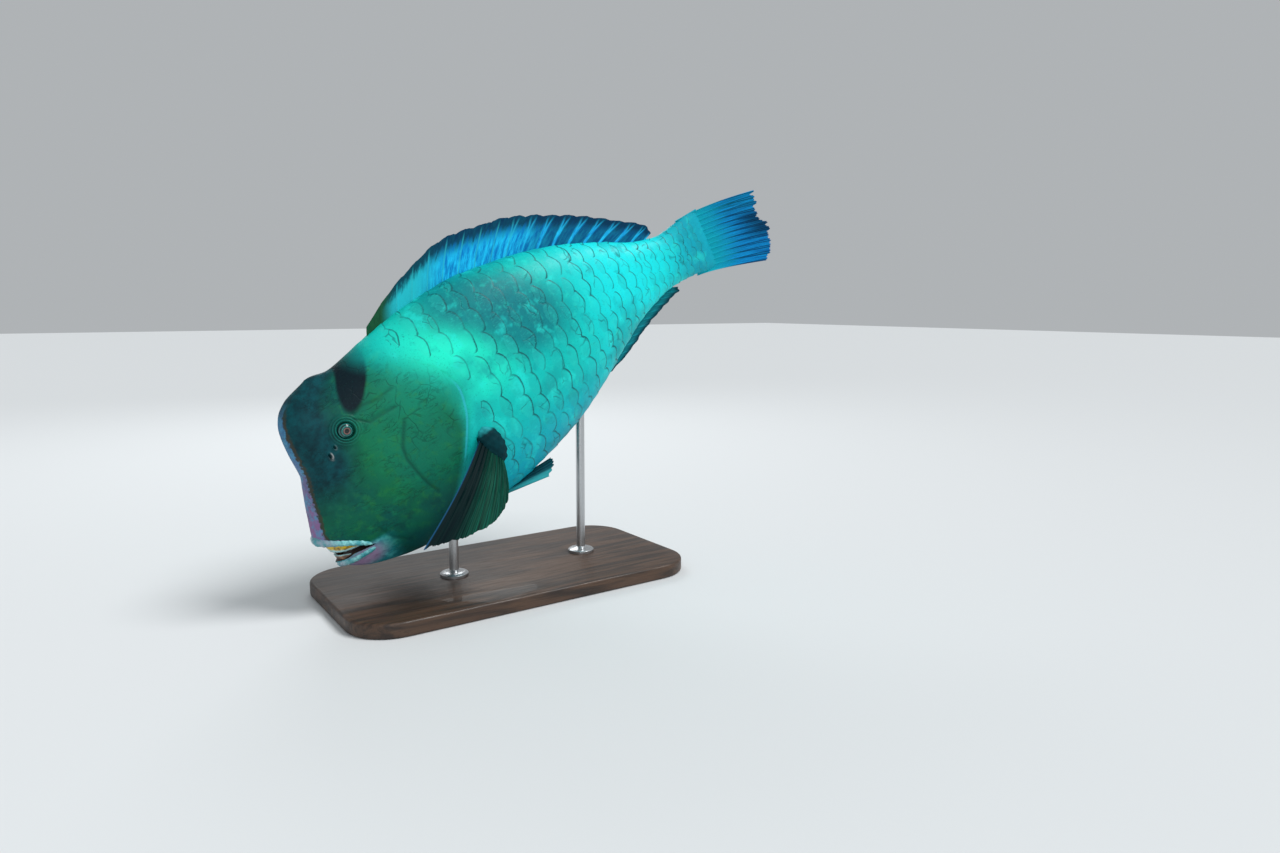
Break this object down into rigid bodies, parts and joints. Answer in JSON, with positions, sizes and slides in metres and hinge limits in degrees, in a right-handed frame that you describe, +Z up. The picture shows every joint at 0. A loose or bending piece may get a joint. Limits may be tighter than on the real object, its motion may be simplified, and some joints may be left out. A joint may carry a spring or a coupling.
{
  "type": "humphead parrotfish model on a stand",
  "caption": "Still life-size model of a large humphead parrotfish, nosing down with its tail raised, on a flat base with two short rods.",
  "frame": {"origin": "centre of the base's underside, on the floor", "axes": "+Z up, -X towards the fish's snout, +X towards its tail, -Y out of its left side"},
  "size_m": [0.9404, 0.3614, 0.7088],
  "materials": {
    "head_skin": "satin",
    "body_skin": "satin",
    "lips": "satin",
    "teeth": "satin",
    "eyes": "gloss",
    "fins": "satin",
    "side_fins": "satin",
    "stand_wood": "satin",
    "stand_steel": "satin"
  },
  "bodies": {
    "root": {"head": "head_skin", "lower_jaw": "lips", "upper_beak": "teeth", "lower_beak": "teeth", "eye_left": "eyes", "eye_right": "eyes", "trunk": "body_skin", "tail_stalk": "body_skin", "dorsal_fin": "fins", "anal_fin": "fins", "caudal_fin": "fins", "pectoral_fin_left": "side_fins", "pectoral_fin_right": "side_fins", "pelvic_fin_left": "side_fins", "pelvic_fin_right": "side_fins", "stand_base": "stand_wood", "stand_rod_front": "stand_steel", "stand_rod_rear": "stand_steel"}
  },
  "joints": []
}
